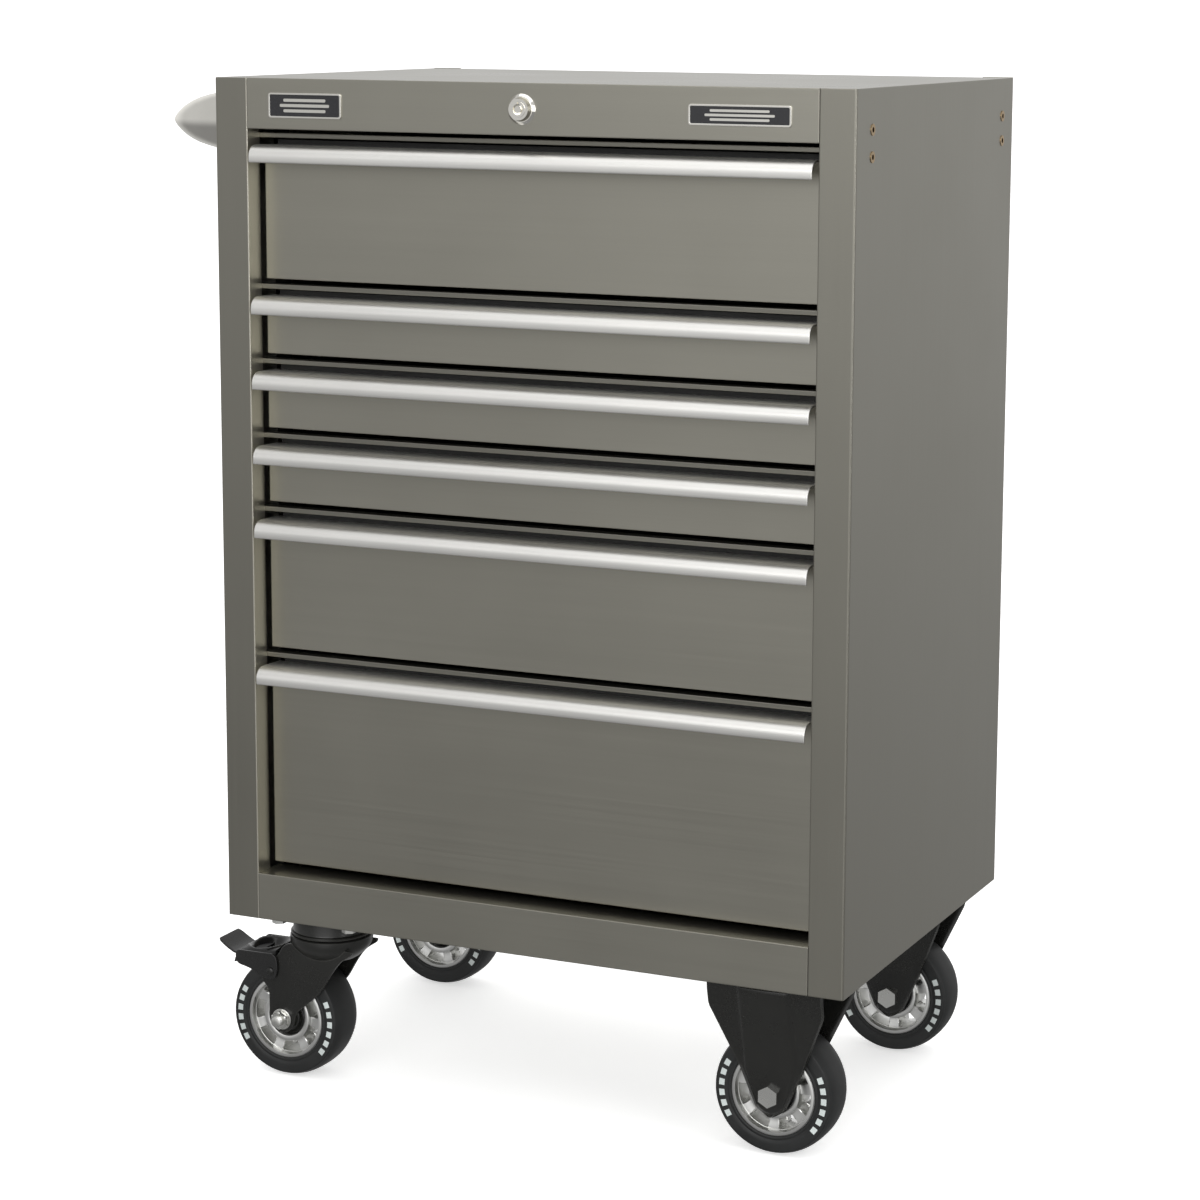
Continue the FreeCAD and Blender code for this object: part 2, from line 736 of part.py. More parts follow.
export("left_side_panel", side_panel(screw_radius + 0.3))
export("right_side_panel", mirrored(side_panel(insert_radius)))
export("top_panel", top_panel())
export("back_panel", back_panel())
export("base_pan", base_pan())
export("front_fascia", front_fascia())
export("kick_rail", kick_rail())
export("cross_rails", cross_rails())
export("slide_uprights", slide_uprights())
export("slide_outer_members", slide_outer_members())
export("push_handle_tube", push_handle_tube())
export("push_handle_brackets", push_handle_brackets())
export("push_handle_screws", push_handle_screws())
export("side_threaded_inserts", side_threaded_inserts())
export("badge_plates", badge_plates())
export("lock_housing", lock_housing())
export("lock_plug", lock_plug())
export("lock_shaft", lock_shaft())
export("locking_bar", locking_bar())

for number, (top, bottom) in enumerate(stack_levels(), start=1):
    name = "drawer_%d_" % number
    export(name + "front", drawer_front(top, bottom))
    export(name + "tray", drawer_tray(top, bottom))
    export(name + "handle", drawer_handle(top))
    export(name + "slides", drawer_slides(bottom))

export("caster_bolts", caster_bolts())
export("swivel_caster_plates", [swivel_plate(y) for y in caster_ys])
export("fixed_caster_forks", [fixed_fork(y) for y in caster_ys])
for place, y in zip(("front", "rear"), caster_ys):
    export(place + "_right_tyre", tyre(caster_x, y))
    export(place + "_right_rim", rim(caster_x, y))
    export(place + "_left_fork", swivel_fork(y))
    export(place + "_left_axle_bolt", axle_bolt(-caster_x - trail, y))
    export(place + "_left_tyre", tyre(-caster_x - trail, y))
    export(place + "_left_rim", rim(-caster_x - trail, y))
    export(place + "_left_brake_pedal", brake_pedal(y))

print("origin shift", shift)
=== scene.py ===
import bmesh
import bpy
import json
import math
from mathutils import Matrix, Vector


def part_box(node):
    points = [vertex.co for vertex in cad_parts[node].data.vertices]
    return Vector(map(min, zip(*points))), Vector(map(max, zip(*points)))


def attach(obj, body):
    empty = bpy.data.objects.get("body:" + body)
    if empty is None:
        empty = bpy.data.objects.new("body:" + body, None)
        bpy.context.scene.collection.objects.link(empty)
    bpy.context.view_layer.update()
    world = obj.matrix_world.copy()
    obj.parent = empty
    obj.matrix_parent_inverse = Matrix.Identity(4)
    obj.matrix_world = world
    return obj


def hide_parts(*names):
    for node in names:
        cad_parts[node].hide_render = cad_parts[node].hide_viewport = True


# Looks of the rolling tool chest. Metres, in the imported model's frame: +X is
# right, +Y runs from the drawers to the back, +Z is up.

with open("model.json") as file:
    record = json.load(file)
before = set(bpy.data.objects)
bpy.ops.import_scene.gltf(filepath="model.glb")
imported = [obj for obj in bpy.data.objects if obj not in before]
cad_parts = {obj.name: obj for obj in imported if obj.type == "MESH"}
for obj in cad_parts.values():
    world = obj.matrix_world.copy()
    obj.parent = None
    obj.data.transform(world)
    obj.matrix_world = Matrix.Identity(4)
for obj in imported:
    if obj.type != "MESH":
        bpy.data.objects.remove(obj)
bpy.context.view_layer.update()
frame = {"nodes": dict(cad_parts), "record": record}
nodes = frame["nodes"]
scene = bpy.context.scene

MM = 0.001


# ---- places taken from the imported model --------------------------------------
def middle(node):
    low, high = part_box(node)
    return (low + high) / 2


wheel_radius = (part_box("front_right_tyre")[1].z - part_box("front_right_tyre")[0].z) / 2


# ---- materials ---------------------------------------------------------------
class Shader:
    """A material under construction: a Principled shader and the nodes that feed it."""

    def __init__(self, name, colour, metallic, roughness):
        self.material = bpy.data.materials.new(name)
        self.material.use_nodes = True
        self.tree = self.material.node_tree
        self.bsdf = self.tree.nodes["Principled BSDF"]
        self.bsdf.inputs["Metallic"].default_value = metallic
        self.colour = colour
        self.roughness = roughness
        self.coords = self.tree.nodes.new("ShaderNodeTexCoord").outputs["Object"]

    def link(self, a, b):
        self.tree.links.new(a, b)

    def scaled(self, scale):
        mapping = self.tree.nodes.new("ShaderNodeMapping")
        mapping.inputs["Scale"].default_value = scale
        self.link(self.coords, mapping.inputs["Vector"])
        return mapping.outputs["Vector"]

    def noise(self, scale, detail=3.0, rough=0.55):
        """Noise with one scale for each axis, in cells per metre."""
        node = self.tree.nodes.new("ShaderNodeTexNoise")
        node.inputs["Scale"].default_value = 1.0
        node.inputs["Detail"].default_value = detail
        node.inputs["Roughness"].default_value = rough
        self.link(self.scaled(scale), node.inputs["Vector"])
        return node.outputs["Fac"]

    def math(self, operation, a, b):
        node = self.tree.nodes.new("ShaderNodeMath")
        node.operation = operation
        for socket, value in zip(node.inputs, (a, b)):
            if isinstance(value, (int, float)):
                socket.default_value = value
            else:
                self.link(value, socket)
        return node.outputs[0]

    def spread(self, factor, low, high, start=0.3, end=0.7):
        """Maps a factor from start..end to low..high."""
        node = self.tree.nodes.new("ShaderNodeMapRange")
        node.inputs["From Min"].default_value = start
        node.inputs["From Max"].default_value = end
        node.inputs["To Min"].default_value = low
        node.inputs["To Max"].default_value = high
        self.link(factor, node.inputs["Value"])
        return node.outputs["Result"]

    def mixed(self, factor, a, b):
        """Colour a where the factor is 0, b where it is 1."""
        node = self.tree.nodes.new("ShaderNodeMix")
        node.data_type = "RGBA"
        for socket, value in ((node.inputs[6], a), (node.inputs[7], b)):
            if isinstance(value, (tuple, list)):
                socket.default_value = (*value, 1.0)
            else:
                self.link(value, socket)
        self.link(factor, node.inputs[0])
        return node.outputs[2]

    def facing(self, *direction):
        """How squarely the surface looks along a direction: 1 straight along it, 0 from side-on."""
        geometry = self.tree.nodes.new("ShaderNodeNewGeometry")
        dot = self.tree.nodes.new("ShaderNodeVectorMath")
        dot.operation = "DOT_PRODUCT"
        dot.inputs[1].default_value = direction
        self.link(geometry.outputs["Normal"], dot.inputs[0])
        return self.math("MAXIMUM", dot.outputs["Value"], 0.0)

    def edge_mask(self, radius):
        """1 along convex and concave edges, 0 on the flats."""
        bevel = self.tree.nodes.new("ShaderNodeBevel")
        bevel.samples = 4
        bevel.inputs["Radius"].default_value = radius
        geometry = self.tree.nodes.new("ShaderNodeNewGeometry")
        dot = self.tree.nodes.new("ShaderNodeVectorMath")
        dot.operation = "DOT_PRODUCT"
        self.link(bevel.outputs["Normal"], dot.inputs[0])
        self.link(geometry.outputs["Normal"], dot.inputs[1])
        return self.spread(dot.outputs["Value"], 1.0, 0.0, 0.9, 0.995)

    def bump(self, height, distance, strength=1.0, bend=0.0):
        """Bump from a height; with a bend radius, sheet edges also look rolled."""
        node = self.tree.nodes.new("ShaderNodeBump")
        if bend:
            roll = self.tree.nodes.new("ShaderNodeBevel")
            roll.samples = 6
            roll.inputs["Radius"].default_value = bend
            self.link(roll.outputs["Normal"], node.inputs["Normal"])
        node.inputs["Distance"].default_value = distance
        node.inputs["Strength"].default_value = strength
        self.link(height, node.inputs["Height"])
        self.link(node.outputs["Normal"], self.bsdf.inputs["Normal"])

    def set_colour(self, output):
        self.link(output, self.bsdf.inputs["Base Color"])

    def set_roughness(self, output):
        self.link(output, self.bsdf.inputs["Roughness"])


def shade(colour, k):
    return tuple(c * k for c in colour)


def brushed(name, colour, roughness, grain, contrast=0.018, edge_highlight=1.35, front=1.0, inner=1.0):
    """Brushed sheet or extrusion; grain is the axis that the scratches run along.

    Faces that look to the front have their colour scaled by front, a painted shade, and those that look to
    the right by inner, a painted light, for how the lamps fall on them; the colour along edges is lightened
    too, a painted highlight.
    """
    s = Shader(name, colour, 1.0, roughness)
    along, across = 5.0, 1100.0
    scratch_depth, sheet_bend = 0.00001, 0.0014
    fine_scale = tuple(along if axis == grain else across for axis in "XYZ")
    broad_scale = tuple(1.5 if axis == grain else 300.0 for axis in "XYZ")
    fine = s.noise(fine_scale, 2.0)
    broad = s.noise(broad_scale, 2.0)
    cloud = s.noise((4.0, 4.0, 4.0), 3.0)
    streaks = s.math("ADD", s.math("MULTIPLY", fine, 0.6), s.math("MULTIPLY", broad, 0.4))
    base = s.mixed(s.spread(streaks, 0, 1), shade(colour, 1 - contrast), shade(colour, 1 + contrast))
    base = s.mixed(s.spread(cloud, 0, 0.35), base, shade(colour, 1.06))
    # Painted shade and painted light: colour scaled by which way a face looks, for how the lamps fall.
    if front != 1.0:
        base = s.mixed(s.facing(0, -1, 0), base, shade(colour, front))
    if inner != 1.0:
        base = s.mixed(s.facing(1, 0, 0), base, shade(colour, inner))
    # Painted highlight: the colour is lightened along convex and concave edges.
    s.set_colour(s.mixed(s.math("MULTIPLY", s.edge_mask(0.0008), 0.5), base, shade(colour, edge_highlight)))
    rough = s.spread(streaks, roughness - 0.03, roughness + 0.03)
    s.set_roughness(s.math("ADD", rough, s.spread(cloud, -0.03, 0.03)))
    s.bump(fine, scratch_depth, 0.12, sheet_bend)
    return s.material


def painted(name, colour, roughness, orange_peel=260.0, edge_highlight=1.8, depth=0.00004, coat=0.0, highlight_width=0.0008):
    """Powder coat or lacquer with a fine orange peel, slight mottling and a painted highlight along edges and
    bends.
    """
    s = Shader(name, colour, 0.0, roughness)
    peel = s.noise((orange_peel,) * 3, 2.0)
    cloud = s.noise((9.0, 9.0, 9.0), 4.0)
    base = s.mixed(s.spread(cloud, 0, 1), shade(colour, 0.85), shade(colour, 1.2))
    # Painted highlight: the colour is lightened along convex and concave edges.
    s.set_colour(s.mixed(s.math("MULTIPLY", s.edge_mask(highlight_width), 0.6), base, shade(colour, edge_highlight)))
    s.set_roughness(s.math("ADD", s.spread(peel, roughness - 0.01, roughness + 0.015),
                           s.spread(cloud, -0.04, 0.05)))
    s.bump(peel, depth, 0.2)
    s.bsdf.inputs["Coat Weight"].default_value = coat
    s.bsdf.inputs["Coat Roughness"].default_value = 0.12
    return s.material


def plated(name, colour, roughness, waviness=0.00002):
    """Chrome or zinc plate: nearly a mirror, with faint waviness and finger haze."""
    s = Shader(name, colour, 1.0, roughness)
    wave = s.noise((60.0, 60.0, 60.0), 2.0)
    haze = s.noise((14.0, 14.0, 14.0), 4.0)
    s.set_colour(s.mixed(s.spread(haze, 0, 1), shade(colour, 0.92), shade(colour, 1.04)))
    s.set_roughness(s.spread(haze, roughness, roughness + 0.07))
    s.bump(wave, waviness, 0.3)
    return s.material


def rubber(name, colour):
    """Tyre rubber: matt, slightly mottled, with bloom and a fine pebble."""
    s = Shader(name, colour, 0.0, 0.55)
    pebble = s.noise((1500.0, 1500.0, 1500.0), 2.0)
    bloom = s.noise((25.0, 25.0, 25.0), 4.0)
    s.set_colour(s.mixed(s.spread(bloom, 0, 1), shade(colour, 0.8), shade(colour, 1.5)))
    s.set_roughness(s.spread(bloom, 0.45, 0.62))
    s.bump(pebble, 0.00003, 0.35)
    s.bsdf.inputs["Specular IOR Level"].default_value = 0.45
    return s.material


STEEL = (0.36, 0.348, 0.302)
# The upright steel's front faces are darkened, a painted shade; the left post's inward return face is
# lightened 2.2 times, a painted light.
steel_upright_painted_shade = brushed("stainless_upright_grain_painted_shade", STEEL, 0.36, "Z", front=0.82)
steel_left_painted_light_and_shade = brushed("stainless_left_grain_painted_light_and_shade", STEEL, 0.36, "Z", front=0.80, inner=2.2)
steel_level = brushed("stainless_level_grain", STEEL, 0.34, "X")
# The rails' steel is darkened to 0.62 of the colour, painted shade for their place recessed between the
# drawers.
steel_rail_painted_shade = brushed("stainless_rail_painted_shade", shade(STEEL, 0.62), 0.36, "X")
steel_top = brushed("stainless_top", STEEL, 0.30, "X")
aluminium = brushed("satin_aluminium", (0.86, 0.85, 0.82), 0.40, "X", 0.03, 1.1)
# Black tray steel, taken near-black so the tray wall above each handle also stands in for the recess's deep
# shade: partly a black tray, partly painted shade.
tray_steel_and_painted_shade = painted("black_tray_steel_and_painted_shade", (0.008, 0.008, 0.008), 0.58)
zinc = plated("zinc_plate", (0.52, 0.52, 0.50), 0.28)
bolt_zinc = plated("bolt_zinc", (0.78, 0.78, 0.75), 0.24)
chrome = plated("polished_chrome", (0.93, 0.91, 0.85), 0.05)
brass = plated("insert_brass", (0.50, 0.36, 0.20), 0.25)
# Caster black: edges lightened 4.5 times over a 1.6 mm mask, a painted highlight along the legs' bends and
# rib edges.
caster_black = painted("caster_black", (0.0095, 0.0095, 0.0085), 0.27, 300.0, 4.5, 0.000004, highlight_width=0.0016)
black_gloss = painted("badge_black", (0.010, 0.010, 0.012), 0.18, 500.0, 1.5, 0.00001, 0.5)
tyre_rubber = rubber("tyre_rubber", (0.009, 0.0095, 0.0095))
brake_black = painted("brake_black", (0.013, 0.013, 0.013), 0.22, 420.0, 2.0, 0.000006)
mark_white = painted("mark_white", (0.46, 0.50, 0.49), 0.5, 900.0, 1.1)
cast_aluminium = plated("cast_aluminium", (0.84, 0.84, 0.82), 0.27, 0.00004)

finishes = {
    "stainless": steel_level,
    "dark_steel": tray_steel_and_painted_shade,
    "zinc_steel": zinc,
    "handle_aluminium": aluminium,
    "bright_chrome": chrome,
    "badge_black": black_gloss,
    "insert_brass": brass,
    "caster_black": caster_black,
    "rim_aluminium": cast_aluminium,
    "tyre_rubber": tyre_rubber,
}
own_finish = {
    "left_side_panel": steel_left_painted_light_and_shade,
    "cross_rails": steel_rail_painted_shade,
    "right_side_panel": steel_upright_painted_shade,
    "top_panel": steel_top,
    "caster_bolts": bolt_zinc,
}
slot_of = {part["node"]: part["material_slot"] for part in frame["record"]["subparts"]}
for name, node in nodes.items():
    node.material_slots[0].material = own_finish.get(name, finishes[slot_of[name]])


# ---- building blocks for new pieces ------------------------------------------
def piece(name, points, faces, material, body, stands_for=(), slot=None, sharp=35.0):
    """A smooth-shaded mesh in the row frame that rides on a body."""
    mesh = bpy.data.meshes.new(name)
    mesh.from_pydata([tuple(p) for p in points], [], faces)
    mesh.validate()
    work = bmesh.new()
    work.from_mesh(mesh)
    bmesh.ops.remove_doubles(work, verts=work.verts, dist=0.00002)
    bmesh.ops.recalc_face_normals(work, faces=work.faces)
    work.to_mesh(mesh)
    work.free()
    mesh.polygons.foreach_set("use_smooth", [True] * len(mesh.polygons))
    mesh.set_sharp_from_angle(angle=math.radians(sharp))
    mesh.materials.append(material)
    made = bpy.data.objects.new(name, mesh)
    scene.collection.objects.link(made)
    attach(made, body)
    if stands_for:
        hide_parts(*stands_for)
    return made


def rounded(made, width, segments=2, angle=35.0):
    bevel = made.modifiers.new("edges", "BEVEL")
    bevel.width = width
    bevel.segments = segments
    bevel.limit_method = "ANGLE"
    bevel.angle_limit = math.radians(angle)
    bevel.harden_normals = True


def thickened(made, thickness, offset):
    wall = made.modifiers.new("wall", "SOLIDIFY")
    wall.thickness = thickness * MM
    wall.offset = offset


def grid_faces(rows, columns, wrap_rows=False, wrap_columns=False):
    """Quads between rows x columns of points numbered row by row."""
    faces = []
    for i in range(rows if wrap_rows else rows - 1):
        for j in range(columns if wrap_columns else columns - 1):
            a, b = i * columns, (i + 1) % rows * columns
            k = (j + 1) % columns
            faces.append((a + j, a + k, b + k, b + j))
    return faces


def turned(profile, centre, steps=96, closed=False, axis="Y", squash=1.0):
    """Points and faces of (radius, distance along the axis) pairs turned about the axis, in mm."""
    points = []
    for radius, along in profile:
        for i in range(steps):
            angle = 2 * math.pi * i / steps
            u, v = radius * math.cos(angle), radius * math.sin(angle)
            offset = {"X": (along, u * squash, v), "Y": (u, along, v), "Z": (u, v, along)}[axis]
            points.append(centre + Vector(offset) * MM)
    return points, grid_faces(len(profile), steps, wrap_rows=closed, wrap_columns=True)


def side_faces(count):
    """Quads between a closed outline of count points and the copy that is numbered after it."""
    return [(i, (i + 1) % count, count + (i + 1) % count, count + i) for i in range(count)]


def prism_faces(count):
    return side_faces(count) + [tuple(range(count))[::-1], tuple(range(count, 2 * count))]


def rectangle(x0, z0, x1, z1):
    return [(x0, z0), (x1, z0), (x1, z1), (x0, z1)]


def swept(outline, low, high):
    """Points and faces of a closed (y, z) outline in metres swept along X."""
    points = [(x, y, z) for x in (low, high) for y, z in outline]
    return points, prism_faces(len(outline))


def plate(outline, low, high):
    """Points and faces of a closed (x, z) outline swept along Y."""
    points, faces = swept(outline, low, high)
    return [(y, x, z) for x, y, z in points], faces


def joined(*parts):
    """Several (points, faces) pairs as one."""
    points, faces = [], []
    for some_points, some_faces in parts:
        faces += [tuple(i + len(points) for i in face) for face in some_faces]
        points += list(some_points)
    return points, faces


def smooth(value, start, end):
    """0 up to start, 1 from end on, eased between them."""
    share = min(1.0, max(0.0, (value - start) / (end - start)))
    return share * share * (3 - 2 * share)


def filleted(corners, radius, steps=5):
    """A closed 2D outline with its corners rounded."""
    outline = []
    count = len(corners)
    for i, corner in enumerate(corners):
        before, here, after = (Vector(p) for p in (corners[i - 1], corner, corners[(i + 1) % count]))
        to_before, to_after = before - here, after - here
        size = min(radius, 0.45 * to_before.length, 0.45 * to_after.length)
        a = here + to_before.normalized() * size
        b = here + to_after.normalized() * size
        for k in range(steps + 1):
            t = k / steps
            outline.append(tuple(a * (1 - t) ** 2 + here * 2 * t * (1 - t) + b * t * t))
    return outline


# ---- wheels ------------------------------------------------------------------
TYRE_HALF = [
    (43.6, 17.0), (43.6, 22.0), (44.4, 22.9), (46.2, 22.9), (46.9, 22.3), (47.7, 22.3), (48.4, 22.9),
    (52.0, 23.0), (56.6, 22.9), (58.6, 22.7), (59.6, 22.4), (60.1, 22.0), (60.2, 21.3), (61.2, 19.2),
    (62.1, 16.4), (62.8, 13.2), (63.2, 9.6), (63.45, 5.0), (63.5, 0.0),
]
PADS = 7
MARKS = 6


def rim_height(radius, angle):
    """How far a rim's face stands from the wheel's middle plane, in mm."""
    sector = 2 * math.pi / PADS
    off = abs((angle + sector / 2) % sector - sector / 2)
    window_half = math.radians(14.0 + 0.1 * (radius - 28))
    inside = 1 - smooth(off, window_half - 0.03, window_half + 0.03)
    inside *= smooth(radius, 27.4, 28.4) * (1 - smooth(radius, 37.0, 38.0))
    pad = 15.4 + 1.2 * smooth(radius, 28, 38)
    height = pad * (1 - inside)
    height += (19.4 - pad) * (1 - smooth(radius, 26.2, 27.4)) * (1 - inside)
    height += (22.4 - pad) * smooth(radius, 38.6, 39.6) * (1 - inside)
    height -= 0.8 * smooth(radius, 42.6, 43.4)
    height -= 1.5 * (1 - smooth(radius, 20.4, 21.2))
    return height


def rim_side(centre, side, phase):
    radii = [20.3, 20.6, 21.0, 21.5, 23.8, 26.0, 26.4, 26.8, 27.2, 27.6, 28.0, 28.5, 30.0, 32.0, 34.0,
             36.0, 36.9, 37.3, 37.7, 38.1, 38.6, 38.9, 39.3, 39.7, 42.4, 42.9, 43.3, 43.5]
    steps = PADS * 36
    heights = []
    points = []
    for radius in radii:
        for i in range(steps):
            angle = 2 * math.pi * i / steps
            heights.append(rim_height(radius, angle))
            turn = angle + phase
            offset = Vector((radius * math.cos(turn), side * heights[-1], radius * math.sin(turn)))
            points.append(centre + offset * MM)
    faces = [f for f in grid_faces(len(radii), steps, wrap_columns=True)
             if max(heights[k] for k in f) > 0.05]
    return points, faces


def sidewall_block(centre, side, start, end):
    """A plain raised block on a tyre's sidewall, between two angles."""
    steps = 6
    angles = [start + (end - start) * t / steps for t in range(steps + 1)]
    outline = [(50.6, a) for a in angles] + [(56.2, a) for a in reversed(angles)]
    top = [centre + Vector((r * math.cos(a), side * 23.0, r * math.sin(a))) * MM for r, a in outline]
    base = [p - Vector((0, side * 0.5, 0)) * MM for p in top]
    return top + base, side_faces(len(top)) + [tuple(range(len(top)))]


def wheel(place, phase):
    tyre_node, rim_node = place + "_tyre", place + "_rim"
    centre = middle(tyre_node)
    body = place + "_wheel"
    profile = [(r, -y) for r, y in TYRE_HALF] + [(r, y) for r, y in reversed(TYRE_HALF[:-1])]
    ring = turned(profile, centre, 144, closed=True)
    piece(tyre_node + "_moulded", *ring, tyre_rubber, body, (tyre_node,), "tyre_rubber", 50)

    barrel = turned([(43.5, -21.6), (43.5, 21.6)], centre, PADS * 36)
    hub_wall = turned([(20.3, -17.9), (20.3, 17.9)], centre, PADS * 36)
    both = joined(rim_side(centre, -1, phase), rim_side(centre, 1, phase), barrel, hub_wall)
    piece(rim_node + "_cast", *both, cast_aluminium, body, (rim_node,), "rim_aluminium", 40)

    cover_half = [(20.3, 12.0), (19.6, 13.6), (17.0, 14.2), (15.6, 15.6), (14.9, 18.6), (13.6, 19.4),
                  (12.9, 23.6), (12.2, 24.5), (6.3, 24.6), (6.3, 12.0)]
    covers = [turned([(r, side * y) for r, y in cover_half], centre, 64) for side in (-1, 1)]
    piece(rim_node + "_hub_cover", *joined(*covers), caster_black, body, (), "caster_black")

    marks = []
    for side in (-1, 1):
        for arc in (-0.12, math.pi + 0.02):
            for k in range(MARKS):
                start = arc + 0.20 * (k - MARKS / 2)
                marks.append(sidewall_block(centre, side, start + 0.04, start + 0.16))
    piece(tyre_node + "_marks", *joined(*marks), mark_white, body, (), "tyre_rubber")


# ---- push handle -------------------------------------------------------------
BRACKET_HALF_DEPTH = 21.0
BRACKET_HALF_HEIGHT = 29.0


def bullet(y):
    """Pointed bracket: an outline turned about X and flattened along Y."""
    low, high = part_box("push_handle_brackets")
    z = (low.z + high.z) / 2
    outline = [(0.0, 29.0), (8, 28.9), (16, 28.4), (23.5, 27.5), (32, 25.7), (42.5, 22.8), (50, 19.8),
               (56, 16.8), (61, 13.7), (65.5, 10.3), (69, 7.2), (71.5, 4.6), (73.2, 2.3), (73.8, 0.8)]
    profile = [(r, -x) for x, r in outline] + [(0.0, -74.0)]
    base = Vector((high.x, y, z))
    flange = [(0.0, 0.0), (28.6, 0.0)]
    return turned(flange + profile, base, 64, axis="X",
                  squash=BRACKET_HALF_DEPTH / BRACKET_HALF_HEIGHT)


def push_handle():
    low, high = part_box("push_handle_brackets")
    inset = BRACKET_HALF_DEPTH * MM
    ends = [bullet(y) for y in (low.y + inset, high.y - inset)]
    piece("push_handle_bullets", *joined(*ends), chrome, "cabinet", ("push_handle_brackets",),
          "bright_chrome", 60)
    tube_low, tube_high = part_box("push_handle_tube")
    centre = (tube_low + tube_high) / 2
    centre.y = tube_low.y
    length = (tube_high.y - tube_low.y) / MM
    radius = (tube_high.z - tube_low.z) / 2 / MM
    profile = [(0.0, 0.5), (radius - 1, 0.5), (radius, 1.5), (radius, length - 1.5),
               (radius - 1, length - 0.5), (0.0, length - 0.5)]
    piece("push_handle_bar", *turned(profile, centre, 64), chrome, "cabinet", ("push_handle_tube",),
          "bright_chrome")


# ---- drawer handles ----------------------------------------------------------
def drawer_handle(number):
    """Extruded canopy: a flat web at the back, a round shoulder and a rolled lip."""
    node = "drawer_%d_handle" % number
    low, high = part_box(node)
    wall = 1.8 * MM
    web_low = high.z - 2.7 * MM
    reach, rise = 13 * MM, 11 * MM
    shoulder_y, shoulder_z = low.y + reach, high.z - rise
    face = low.y + 32 * MM
    outline = []
    for k in range(13):
        angle = math.pi / 2 * k / 12
        outline.append((shoulder_y - reach * math.cos(angle), shoulder_z + rise * math.sin(angle)))
    outline += [(high.y, web_low + wall), (high.y, web_low), (face, web_low)]
    for k in range(12, -1, -1):
        angle = math.pi / 2 * k / 12
        outline.append((shoulder_y - (reach - wall) * math.cos(angle),
                        shoulder_z + (rise - wall) * math.sin(angle)))
    for k in range(7):
        angle = math.pi * k / 6
        outline.append((low.y + wall / 2 + wall / 2 * math.cos(angle),
                        low.z + wall / 2 - wall / 2 * math.sin(angle)))
    made = piece("drawer_%d_pull" % number, *swept(outline, low.x, high.x), aluminium,
                 "drawer_%d" % number, (node,), "handle_aluminium", 30)
    rounded(made, 0.00025)


# ---- name plates -------------------------------------------------------------
def badge(index, x0, x1, z0, z1, y):
    """Blank gloss plate in a bright frame, with three plain raised bars."""
    def slab(inset, low, high, radius):
        corners = rectangle(x0 + inset, z0 + inset, x1 - inset, z1 - inset)
        return plate(filleted(corners, radius), low, high)

    plate_piece = piece("badge_%d_plate" % index, *slab(0.0006, y - 0.0009, y, 0.002), black_gloss,
                        "cabinet", ("badge_plates",) if index == 1 else (), "badge_black")
    rounded(plate_piece, 0.0002)
    border_width = 0.0018
    outer = filleted(rectangle(x0, z0, x1, z1), 0.003)
    inner = filleted(rectangle(x0 + border_width, z0 + border_width,
                               x1 - border_width, z1 - border_width), 0.0016)
    count = len(outer)
    rings = [(outer, y), (outer, y - 0.0016), (inner, y - 0.0016), (inner, y - 0.0006)]
    points = [(x, depth, z) for ring, depth in rings for x, z in ring]
    border = piece("badge_%d_border" % index, points, grid_faces(4, count, wrap_columns=True), chrome,
                   "cabinet", (), "bright_chrome", 40)
    rounded(border, 0.0003)
    bar_height = (z1 - z0) * 0.12
    bars = []
    for k in (-1, 0, 1):
        z = (z0 + z1) / 2 + k * (z1 - z0) * 0.21
        reach = (x1 - x0) * (0.34 - 0.05 * abs(k))
        x = (x0 + x1) / 2
        corners = rectangle(x - reach, z - bar_height / 2, x + reach, z + bar_height / 2)
        bars.append(plate(filleted(corners, bar_height / 2), y - 0.0014, y - 0.0008))
    piece("badge_%d_bars" % index, *joined(*bars), chrome, "cabinet", (), "bright_chrome")


# ---- casters -----------------------------------------------------------------
# The CAD crown's radius places the swivel axis; its drop places the base above it. In mm.
CAD_CROWN_RADIUS = 48.0
CAD_CROWN_DROP = 24.3


def leg_half_width(z, axle, radius, wide, shoulder):
    """Half the width of a fork leg at height z: straight, then tapered to a round end. All in mm."""
    dx, dz = wide, shoulder - axle
    touch = math.atan2(dz, dx) - math.acos(radius / math.hypot(dx, dz))
    touch_x, touch_z = radius * math.cos(touch), axle + radius * math.sin(touch)
    if z >= shoulder:
        return wide
    if z >= touch_z:
        return touch_x + (wide - touch_x) * (z - touch_z) / (shoulder - touch_z)
    return math.sqrt(max(0.0, radius ** 2 - (z - axle) ** 2))


def fixed_leg(centre, side, top):
    """One pressed leg of a fixed caster: a leaning sheet with a tapered rib and a rolled edge."""
    axle = centre.z / MM
    low = axle - 19.5
    heights = [top - 0.2, top - 0.7, top - 2.0, top - 4.5] + [top - 8 - 4.2 * k for k in range(21)]
    heights += [low + 8.0, low + 5.0, low + 2.6, low + 1.0, low + 0.2, low]
    reach = {0: 46.5, 1: 48.6, 2: 49.7}
    columns = 45
    points = []
    for i, z in enumerate(heights):
        half_width = leg_half_width(z, axle, 19.5, 59.0, top - 27)
        lean = reach.get(i, 28.5 + 21.5 * max(0.0, (z - top + 90) / 86))
        for k in range(columns):
            x = half_width * (2 * k / (columns - 1) - 1)
            ridge = 1.6 * max(0.0, 1 - (x / 28) ** 2) + 3.6 * (1 - smooth(abs(x), 24.5, 28))
            rib = ridge * smooth(z, top - 103, top - 90)
            rib *= 1 - smooth(z, top - 3, top)
            rolled = 0.9 * smooth(abs(x), half_width - 3.0, half_width) * (1 - smooth(z, top - 12, top - 4))
            points.append(centre + Vector((x, side * (lean + rib + rolled), z - axle)) * MM)
    return points, grid_faces(len(heights), columns)


